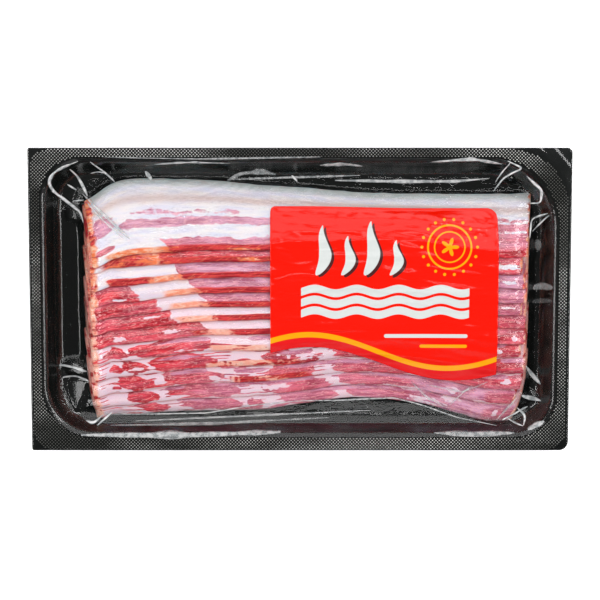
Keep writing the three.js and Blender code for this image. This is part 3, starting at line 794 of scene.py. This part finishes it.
def film_surface(tops):
    """A grid of the film's heights: it rests on slices, tray and facets, is held by the flange, and hangs
    between them as a membrane under the vacuum's pull."""
    xs = np.linspace(FLANGE["left"], FLANGE["right"], int(TRAY_LENGTH / FILM_STEP_X) + 1)
    ys = np.linspace(FLANGE["near"], FLANGE["far"], int(TRAY_WIDTH / FILM_STEP_Y) + 1)
    x, y = np.meshgrid(xs, ys)
    bed = np.maximum(tray_top(x, y), stack_heights(tops, xs, ys)) + FILM_CLEARANCE
    bed = np.maximum(bed, facet_bed(x, y))
    held = inside_distance(x, y, CAVITY) < 0.2
    z = np.where(held, TRAY_HEIGHT + 0.3 + corner_lift(x, y), TRAY_SHEET + 0.2)
    z = np.maximum(z, bed)
    on_stack = inside_distance(x, y, STACK_BOX) > 0
    pull = np.where(on_stack, STACK_PULL, MOAT_PULL)
    pull = np.where(under_label(x, y), LABEL_PULL, pull)[1:-1, 1:-1]
    wx, wy = 1 / FILM_STEP_X**2, 1 / FILM_STEP_Y**2
    for _ in range(FILM_ROUNDS):
        middle = z[1:-1, 1:-1]
        around = wx * (z[1:-1, :-2] + z[1:-1, 2:]) + wy * (z[:-2, 1:-1] + z[2:, 1:-1])
        hanging = np.maximum(bed[1:-1, 1:-1], (around - pull) / (2 * (wx + wy)))
        middle[...] = np.where(held[1:-1, 1:-1], middle, hanging)
    return x, y, z


def under_label(x, y):
    return (x > LABEL_LEFT) & (x < LABEL_RIGHT) & (y > label_wave(x)) & (y < LABEL_TOP)


def facet_bed(x, y):
    """Heights of the flat facets that hold the film up between the stack and the tray's wall."""
    bed = np.zeros(x.shape)
    for low, (slope_x, slope_y), *corners in FACETS:
        inside = np.ones(x.shape, bool)
        for (x0, y0), (x1, y1) in zip(corners, corners[1:] + corners[:1]):
            inside &= (x1 - x0) * (y - y0) - (y1 - y0) * (x - x0) >= 0
        lowest = min(slope_x * px + slope_y * py for px, py in corners)
        bed = np.maximum(bed, np.where(inside, low + slope_x * x + slope_y * y - lowest, 0))
    return bed


def corner_lift(x, y):
    """The unsealed corner, where the film stands a little off the flange in soft waves."""
    seal = inside_distance(x, y, SEAL)
    free = smooth(-seal, 0, 3) * (x > 90) * (y > 30)
    wave = np.sin((0.75 * x + 0.66 * y) * 1.25 + 1.2 * noise(x / 9, y / 16, 8))
    return free * (0.5 + 0.36 * wave)


def film_material():
    tree = Tree("clear_film")
    place = tree.place()
    ripple = tree.noise(place, (60, 260, 60), 3, 0.6)
    cockle = tree.noise(place, (240, 420, 100), 2)
    wander = tree.noise(place, (90, 160, 90), 2)
    crease = tree.ramp(tree.math("ABSOLUTE", tree.math("SUBTRACT", wander, 0.5)), 0.03, 0)
    height = tree.plus(ripple, tree.times(cockle, 0.35))
    height = tree.plus(height, tree.times(crease, 0.3))
    height = tree.times(height, tree.ramp(tree.attribute("rough"), 0, 1, 0.02, 1))
    normal = tree.bump(height, 0.5, 0.0006)
    clear = tree.add("ShaderNodeBsdfTransparent", {"Color": (0.99, 0.99, 0.99, 1)})
    # Softer over the moat, where narrow mirror images on black would be grainy
    soft = tree.ramp(tree.attribute("rough"), 0, 1, 0.17, 0.1)
    gloss = {"Roughness": soft, "Color": (1, 1, 1, 1), "Normal": normal}
    gloss = tree.add("ShaderNodeBsdfAnisotropic", gloss)
    # Both sides of the sheet reflect, more so at a glancing angle, and alike from above and from below
    facing = tree.add("ShaderNodeLayerWeight", {"Blend": 0.5, "Normal": normal}, out="Facing")
    share = tree.ramp(tree.math("POWER", facing, 5), 0, 1, 0.07, 0.9, "LINEAR")
    film = tree.add("ShaderNodeMixShader", {0: share, 1: clear, 2: gloss})
    return tree.show(film)


def pleat_material():
    tree = Tree("folded_film_painted_sheen")
    place = tree.place()
    cloud = tree.noise(place, (420, 420, 420), 3)
    # Painted reflections and highlights of the folds: pale grey to white, as strong as each pleat's paleness
    colour = tree.mix(tree.ramp(cloud, 0.35, 0.65), (190, 196, 198), (252, 252, 252))
    soft = tree.ramp(cloud, 0.3, 0.6, 0.8, 1)
    shown = tree.times(tree.attribute("shown"), soft)
    return tree.set(Base_Color=colour, Roughness=0.18, Alpha=shown, IOR=1.5)


def build_pleats(surface, material):
    """Each pleat is a low double ridge that rides on the film and tapers out at both ends."""
    points, faces, fold_white_and_painted_sheen = [], [], []
    for width, shown, *path in PLEATS:
        corners = np.array(path)
        steps = np.linalg.norm(np.diff(corners, axis=0), axis=1)
        reach = np.concatenate([[0], np.cumsum(steps)])
        stations = np.linspace(0, reach[-1], max(8, int(reach[-1] / 0.5)))
        line = np.stack([np.interp(stations, reach, corners[:, k]) for k in (0, 1)], -1)
        for _ in range(12):
            line[1:-1] = (line[:-2] + 2 * line[1:-1] + line[2:]) / 4
        way = np.gradient(line, axis=0)
        way /= np.linalg.norm(way, axis=1)[:, None]
        side = np.stack([-way[:, 1], way[:, 0]], -1)
        share = stations / reach[-1]
        full = np.sqrt(np.sin(np.pi * clamp(share, 0.02, 0.98)))
        full = full * (1 + 0.4 * noise(stations / max(3, reach[-1] / 9), reach[-1], 12))
        profile = ((-0.5, 0), (-0.3, 0.42), (0, 0.12), (0.3, 0.42), (0.5, 0), (0, -0.1))
        start = len(points)
        for (px, py), (sx, sy), size in zip(line, side, full * width):
            for across, up in profile:
                x, y = px + sx * across * size, py + sy * across * size
                points.append((x, y, sample(surface, np.array(x), np.array(y)) + up * size))
        count = len(profile)
        ends = [np.mean(points[start : start + count], 0), np.mean(points[-count:], 0)]
        faces += [tuple(start + i for i in face) for face in ring_faces(len(line), count)]
        points += ends
        fold_white_and_painted_sheen += [shown] * (len(points) - start)
    make_object("film_pleats_painted_streaks", points, faces, material, attributes={"shown": fold_white_and_painted_sheen})


def build_film(x, y, z, material):
    top = np.stack([x, y, z], -1).reshape(-1, 3)
    under = top - (0, 0, FILM_SHEET)
    rows, columns = x.shape
    hidden = Tree("film_underside")
    clear = hidden.show(hidden.add("ShaderNodeBsdfTransparent", {"Color": (1, 1, 1, 1)}))
    on_stack = smooth(inside_distance(x, y, STACK_BOX), -3, 1).ravel()
    rough = {"rough": np.tile(on_stack, 2)}
    points, faces = np.concatenate([top, under]), sheet_faces(rows, columns)
    film = make_object("top_film", points, faces, material, rough, ("film",))
    film.data.materials.append(clear)
    index = np.ones(len(film.data.polygons), dtype=np.int32)
    index[: (rows - 1) * (columns - 1)] = 0
    film.data.polygons.foreach_set("material_index", index)


# The label

LABEL_LEFT, LABEL_RIGHT, LABEL_TOP, LABEL_SHEET = -14.2, 94.4, 44.8, 0.1
# Low ripples where the label passes over the slices' edges
RIPPLE_HEIGHT, RIPPLE_REACH = 0.3, 0.75
# How far the slices' edges drop towards the near side under the label's right end
LABEL_DROP = 4.6
# Height of the label's soft waves
WAVE_HEIGHT = 0.6
LABEL_COLUMNS, LABEL_ROWS, LABEL_CLEARANCE = 240, 180, 0.14
# Radii of the label's upper corners
CORNER_LEFT, CORNER_RIGHT = 2.4, 5
# Place along the label, height and half width of each flame
FLAMES = ((8, 24, 4.6), (20, 19, 3.8), (31, 26, 4.8), (43, 17, 3.6))
FLAME_FOOT, RING_PLACE = 12, (71, 25.5)


def label_wave(x):
    return -30.9 + 8.35 * np.cos(np.pi * (x - 5) / 69.4)


def gold_wave(x):
    return -23.5 + 8.3 * np.cos(np.pi * (x - 4.5) / 66)


def label_material():
    tree = Tree("label_print")
    colour = tree.mix(tree.ramp(tree.attribute("band"), -0.1, 0.1), (232, 18, 0), (216, 24, 26))
    for ink, paint in (("gold", (240, 158, 6)), ("shadow", (74, 34, 34)), ("white", (204, 208, 206))):
        colour = tree.mix(tree.ramp(tree.attribute(ink), -0.12, 0.12), colour, paint)
    place = tree.place()
    paper = tree.noise(place, (90, 300, 90), 3, 0.55)
    return tree.set(Base_Color=colour, Roughness=0.14, Normal=tree.bump(paper, 0.2, 0.0005), IOR=1.5)


def thin_line(x, y, left, right, level, radius):
    return radius - np.hypot(x - clamp(x, left, right), y - level)


def flames(x, y):
    """Four flames that sway, with their feet at one height."""
    ink = np.full(x.shape, -9.0)
    for place, height, width in FLAMES:
        t = clamp((y - FLAME_FOOT) / height, 0, 1)
        middle = place + 5 * t + 2.2 * np.sin(t * 5)
        inside = width * np.sqrt(clamp(t * 2.2, 0, 1)) * (1 - t) ** 0.75
        shown = (y > FLAME_FOOT) & (y < FLAME_FOOT + height)
        ink = np.maximum(ink, np.where(shown, inside - np.abs(x - middle), -3))
    return ink


def flower_ring(x, y):
    """Two circles with dots round them and a flower inside."""
    x, y = x - RING_PLACE[0], y - RING_PLACE[1]
    ring, angle = np.hypot(x, y), np.arctan2(y, x)
    circles = np.maximum(0.45 - np.abs(ring - 10.3), 0.35 - np.abs(ring - 7.2))
    dots = np.hypot(ring - 13.2, ring * (np.mod(angle + np.pi / 18, np.pi / 9) - np.pi / 18))
    flower = 4.5 * (0.62 + 0.38 * np.cos(5 * angle)) - ring
    return np.maximum(np.maximum(circles, 0.75 - dots), flower)


def label_print(x, y):
    """Signed distances in millimetres, above zero inside, for each ink."""
    band = gold_wave(x) - y - 1.3
    white = flames(x, y)
    # Wavy strips
    for k in range(3):
        middle = 4.6 - k * 5.2 + 1.1 * np.sin((x - 2) * 2 * np.pi / 20)
        strip = np.minimum(1.9 - np.abs(y - middle), 40 - np.abs(x - 40.5))
        white = np.maximum(white, strip)
    shadow = np.maximum(-9.0, np.roll(white, (-2, 3), (0, 1)) * (y > 10) - 9 * (y <= 10))
    white = np.maximum(white, thin_line(x, y, 41, 79, -17, 0.9))
    gold = np.maximum(1.3 - np.abs(y - gold_wave(x) + 1.3), thin_line(x, y, 58, 79, -22, 0.8))
    gold = np.maximum(gold, flower_ring(x, y))
    return dict(band=band, gold=gold, white=white, shadow=shadow)


def blur(values, count):
    """Blurs a grid along its columns and its rows in turn."""
    for _ in range(2 * count):
        padded = np.pad(values, ((1, 1), (0, 0)), mode="edge")
        values = ((padded[:-2] + padded[2:] + 2 * values) / 4).T
    return values


def sample(surface, x, y):
    """Height of the film's grid at any point."""
    xs, ys, z = surface[0][0], surface[1][:, 0], surface[2]
    fx = clamp((x - xs[0]) / (xs[1] - xs[0]), 0, len(xs) - 1.001)
    fy = clamp((y - ys[0]) / (ys[1] - ys[0]), 0, len(ys) - 1.001)
    c, r = fx.astype(int), fy.astype(int)
    fx, fy = fx - c, fy - r
    low = z[r, c] * (1 - fx) + z[r, c + 1] * fx
    high = z[r + 1, c] * (1 - fx) + z[r + 1, c + 1] * fx
    return low * (1 - fy) + high * fy


def corner_cut(radius, distance):
    """How far a round corner lies below the straight edge, at a distance from the side."""
    return radius - np.sqrt(radius**2 - clamp(radius - distance, 0, radius) ** 2)


def build_label(surface, material):
    x = np.linspace(LABEL_LEFT, LABEL_RIGHT, LABEL_COLUMNS)
    left, right = x - LABEL_LEFT, LABEL_RIGHT - x
    upper = LABEL_TOP - corner_cut(CORNER_LEFT, left) - corner_cut(CORNER_RIGHT, right) - smooth(x, 0, 60)
    t = np.linspace(0, 1, LABEL_ROWS)[:, None]
    y = label_wave(x) * (1 - t) + upper * t
    x = x + 0 * y
    z = sample(surface, x, y)
    taut = z.copy()
    for _ in range(3):
        taut = np.maximum(z, blur(taut, 6))
    z = taut + 0.16
    for i in range(5, SLICES):
        line = edge_line(i, x) + middle_bulge(1 - i / (SLICES - 1), x) - LABEL_DROP * smooth(x, 52, 100)
        strength = clamp(0.5 + 0.9 * noise(x / 22, i, 71), 0, 1) * smooth(left, 0, 4) * smooth(right, 0, 4)
        z = z + RIPPLE_HEIGHT * strength * bell(y - line, 1.2 * noise(x / 14, i, 72), RIPPLE_REACH)
    crumple = 0.35 + 0.65 * smooth(y, 2, 28)
    z = z + WAVE_HEIGHT * crumple * noise(x / 13 + y / 12, y / 4.2, 73) + 0.07 * noise(x / 9, y / 1.8, 74)
    z = np.maximum(z, sample(surface, x, y) + LABEL_CLEARANCE)
    top = np.stack([x, y, z], -1).reshape(-1, 3)
    inks = {k: np.tile(v.ravel(), 2) for k, v in label_print(x, y).items()}
    points, faces = np.concatenate([top, top - (0, 0, LABEL_SHEET)]), sheet_faces(LABEL_ROWS, LABEL_COLUMNS)
    make_object("label_sticker", points, faces, material, inks, ("label",))


# Floor, light and camera, in metres

WORLD_STRENGTH = 0.07
# Name, azimuth, elevation, distance, width, height, power and whether the film mirrors it
SOFTBOXES = [
    ("overhead", 90, 84, 1.2, 1.6, 1.6, 4, False),
    ("front_fill", -90, 42, 1.1, 1.4, 0.6, 4.5, False),
    ("left_fill", 180, 18, 1.1, 1.0, 0.5, 8, False),
    ("right_fill", 0, 18, 1.1, 1.0, 0.5, 4, False),
    ("back", 90, 48, 1.0, 1.6, 0.5, 3, True),
    ("back_low", 90, 20, 1.1, 1.6, 0.3, 2.4, True),
    ("left", 180, 36, 1.0, 0.5, 0.4, 2.2, True),
    ("right", 0, 36, 1.0, 0.5, 0.4, 2.2, True),
    ("corner", 42, 36, 1.0, 0.4, 0.4, 2, True),
    ("strip", 90, 73, 1.0, 0.7, 0.1, 0.6, True),
    ("front", -90, 42, 1.1, 0.5, 0.06, 0.6, True),
]


def build_stage():
    tree = Tree("pale_floor")
    tree.set(Base_Color=(0.92, 0.92, 0.92, 1), Roughness=0.8)
    tree.set(Emission_Color=(1, 1, 1, 1), Emission_Strength=0.5)
    mesh = bpy.data.meshes.new("floor")
    reach = 3
    corners = [(-reach, -reach, 0), (reach, -reach, 0), (reach, reach, 0), (-reach, reach, 0)]
    mesh.from_pydata(corners, [], [(0, 1, 2, 3)])
    mesh.materials.append(tree.material)
    floor = put("floor", mesh)
    floor.location.z = -0.0005


def add_softbox(name, azimuth, elevation, distance, width, height, power, mirrored):
    light = bpy.data.lights.new(name, "AREA")
    light.shape, light.size, light.size_y, light.energy = "RECTANGLE", width, height, power
    made = put(name, light)
    made.visible_glossy = mirrored
    a, e = math.radians(azimuth), math.radians(elevation)
    made.location = Vector((math.cos(a) * math.cos(e), math.sin(a) * math.cos(e), math.sin(e))) * distance
    made.rotation_euler = (-made.location).to_track_quat("-Z", "Y").to_euler()


def build_lights():
    world = bpy.data.worlds.new("studio")
    world.use_nodes = True
    background = world.node_tree.nodes["Background"].inputs
    background["Color"].default_value = (1, 1, 1, 1)
    background["Strength"].default_value = WORLD_STRENGTH
    bpy.context.scene.world = world
    for softbox in SOFTBOXES:
        add_softbox(*softbox)
    bpy.context.scene.view_settings.view_transform = "Standard"


def build_camera():
    distance, tilt, view_width = 0.66, math.radians(4.8), 0.2872
    data = bpy.data.cameras.new("camera")
    data.sensor_width, data.lens = 36, 36 * distance / view_width
    camera = put("camera", data)
    target = Vector((0.0, 0.0, 0.012))
    camera.location = target + Vector((0, math.sin(tilt), math.cos(tilt))) * distance
    camera.rotation_euler = (-tilt, 0, 0)
    data.clip_start, data.clip_end = 0.01, 20
    bpy.context.scene.camera = camera


black = tray_material()
build_tray(black)
build_seal(knurl_material())
bacon = bacon_material()
tops = np.concatenate([build_slice(i, bacon) for i in range(SLICES)])
surface = film_surface(tops)
build_film(*surface, film_material())
build_pleats(surface, pleat_material())
build_label(surface, label_material())
build_stage()
build_lights()
build_camera()
